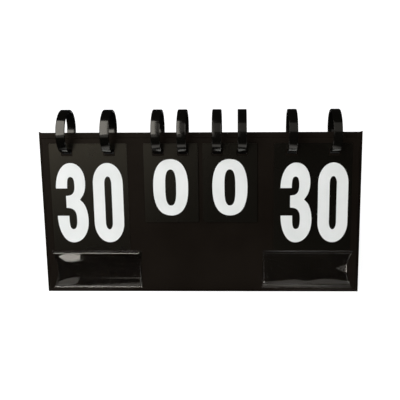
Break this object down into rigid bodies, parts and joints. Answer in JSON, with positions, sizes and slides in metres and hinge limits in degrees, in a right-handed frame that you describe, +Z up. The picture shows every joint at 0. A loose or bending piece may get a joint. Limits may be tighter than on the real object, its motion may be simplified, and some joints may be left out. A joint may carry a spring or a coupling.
{
  "type": "tabletop flip scoreboard",
  "caption": "Folding A-frame scoreboard for a table, with number cards on rings that flip over its top fold and clear name pockets.",
  "frame": {"origin": "centre of the footprint on the table", "axes": "+X along the fold to the right, +Z up, the front panel faces -Y"},
  "size_m": [0.38, 0.1384, 0.2143],
  "materials": {
    "cover_film": "satin",
    "lining_film": "matte",
    "grey_board": "matte",
    "strap_film": "matte",
    "clear_film": "gloss",
    "ring_plastic": "gloss",
    "card_plastic": "satin"
  },
  "bodies": {
    "front_panel": {"front_cover": "cover_film", "front_board": "grey_board", "front_lining": "lining_film", "fold_spine": "cover_film", "left_spreader_strap": "strap_film", "right_spreader_strap": "strap_film", "front_left_name_pocket": "clear_film", "front_right_name_pocket": "clear_film", "left_sets_front_pack": "card_plastic", "right_sets_front_pack": "card_plastic"},
    "back_panel": {"back_cover": "cover_film", "back_board": "grey_board", "back_lining": "lining_film", "back_left_name_pocket": "clear_film", "back_right_name_pocket": "clear_film", "left_points_back_pack": "card_plastic", "right_points_back_pack": "card_plastic"},
    "ring_1": {"ring_1": "ring_plastic"},
    "left_points_front_card": {"left_points_front_card": "card_plastic"},
    "ring_2": {"ring_2": "ring_plastic"},
    "left_points_back_card": {"left_points_back_card": "card_plastic"},
    "ring_3": {"ring_3": "ring_plastic"},
    "left_sets_front_card": {"left_sets_front_card": "card_plastic"},
    "ring_4": {"ring_4": "ring_plastic"},
    "left_sets_back_card": {"left_sets_back_card": "card_plastic"},
    "ring_6": {"ring_6": "ring_plastic"},
    "right_sets_front_card": {"right_sets_front_card": "card_plastic"},
    "ring_5": {"ring_5": "ring_plastic"},
    "right_sets_back_card": {"right_sets_back_card": "card_plastic"},
    "ring_8": {"ring_8": "ring_plastic"},
    "right_points_front_card": {"right_points_front_card": "card_plastic"},
    "ring_7": {"ring_7": "ring_plastic"},
    "right_points_back_card": {"right_points_back_card": "card_plastic"}
  },
  "joints": [
    {"name": "panel_fold", "type": "hinge", "parent": "front_panel", "child": "back_panel", "pos_m": [0, 0, 0.18606], "axis": [1, 0, 0], "range_deg": [-39.5, 0], "deforming": ["left_spreader_strap", "right_spreader_strap"]},
    {"name": "ring_1_turn", "type": "hinge", "parent": "front_panel", "child": "ring_1", "pos_m": [0, 0, 0.18886], "axis": [-1, 0, 0], "range_deg": [0, 294.23]},
    {"name": "left_points_front_card_tilt", "type": "hinge", "parent": "ring_1", "child": "left_points_front_card", "pos_m": [-0.1577, -0.01042, 0.16702], "axis": [-1, 0, 0], "range_deg": [0, 25.77]},
    {"name": "ring_2_turn", "type": "hinge", "parent": "back_panel", "child": "ring_2", "pos_m": [0, 0, 0.18886], "axis": [1, 0, 0], "range_deg": [0, 294.28]},
    {"name": "left_points_back_card_tilt", "type": "hinge", "parent": "ring_2", "child": "left_points_back_card", "pos_m": [-0.1075, 0.01535, 0.17015], "axis": [1, 0, 0], "range_deg": [0, 25.73]},
    {"name": "ring_3_turn", "type": "hinge", "parent": "front_panel", "child": "ring_3", "pos_m": [0, 0, 0.18886], "axis": [-1, 0, 0], "range_deg": [0, 304.96]},
    {"name": "left_sets_front_card_tilt", "type": "hinge", "parent": "ring_3", "child": "left_sets_front_card", "pos_m": [-0.0495, -0.01161, 0.16763], "axis": [-1, 0, 0], "range_deg": [0, 15.04]},
    {"name": "ring_4_turn", "type": "hinge", "parent": "back_panel", "child": "ring_4", "pos_m": [0, 0, 0.18886], "axis": [1, 0, 0], "range_deg": [0, 304.95]},
    {"name": "left_sets_back_card_tilt", "type": "hinge", "parent": "ring_4", "child": "left_sets_back_card", "pos_m": [-0.0201, 0.01042, 0.16702], "axis": [1, 0, 0], "range_deg": [0, 15.05]},
    {"name": "ring_6_turn", "type": "hinge", "parent": "front_panel", "child": "ring_6", "pos_m": [0, 0, 0.18886], "axis": [-1, 0, 0], "range_deg": [0, 304.96]},
    {"name": "right_sets_front_card_tilt", "type": "hinge", "parent": "ring_6", "child": "right_sets_front_card", "pos_m": [0.0495, -0.01161, 0.16763], "axis": [-1, 0, 0], "range_deg": [0, 15.04]},
    {"name": "ring_5_turn", "type": "hinge", "parent": "back_panel", "child": "ring_5", "pos_m": [0, 0, 0.18886], "axis": [1, 0, 0], "range_deg": [0, 304.95]},
    {"name": "right_sets_back_card_tilt", "type": "hinge", "parent": "ring_5", "child": "right_sets_back_card", "pos_m": [0.0201, 0.01042, 0.16702], "axis": [1, 0, 0], "range_deg": [0, 15.05]},
    {"name": "ring_8_turn", "type": "hinge", "parent": "front_panel", "child": "ring_8", "pos_m": [0, 0, 0.18886], "axis": [-1, 0, 0], "range_deg": [0, 294.23]},
    {"name": "right_points_front_card_tilt", "type": "hinge", "parent": "ring_8", "child": "right_points_front_card", "pos_m": [0.1577, -0.01042, 0.16702], "axis": [-1, 0, 0], "range_deg": [0, 25.77]},
    {"name": "ring_7_turn", "type": "hinge", "parent": "back_panel", "child": "ring_7", "pos_m": [0, 0, 0.18886], "axis": [1, 0, 0], "range_deg": [0, 294.28]},
    {"name": "right_points_back_card_tilt", "type": "hinge", "parent": "ring_7", "child": "right_points_back_card", "pos_m": [0.1075, 0.01535, 0.17015], "axis": [1, 0, 0], "range_deg": [0, 25.73]}
  ],
  "couplings": [
    {"joint": "left_points_front_card_tilt", "follows": "ring_1_turn", "ratio": 0.087595},
    {"joint": "left_points_back_card_tilt", "follows": "ring_2_turn", "ratio": 0.087414},
    {"joint": "left_sets_front_card_tilt", "follows": "ring_3_turn", "ratio": 0.049332},
    {"joint": "left_sets_back_card_tilt", "follows": "ring_4_turn", "ratio": 0.049354},
    {"joint": "right_sets_front_card_tilt", "follows": "ring_6_turn", "ratio": 0.049332},
    {"joint": "right_sets_back_card_tilt", "follows": "ring_5_turn", "ratio": 0.049354},
    {"joint": "right_points_front_card_tilt", "follows": "ring_8_turn", "ratio": 0.087595},
    {"joint": "right_points_back_card_tilt", "follows": "ring_7_turn", "ratio": 0.087414}
  ]
}
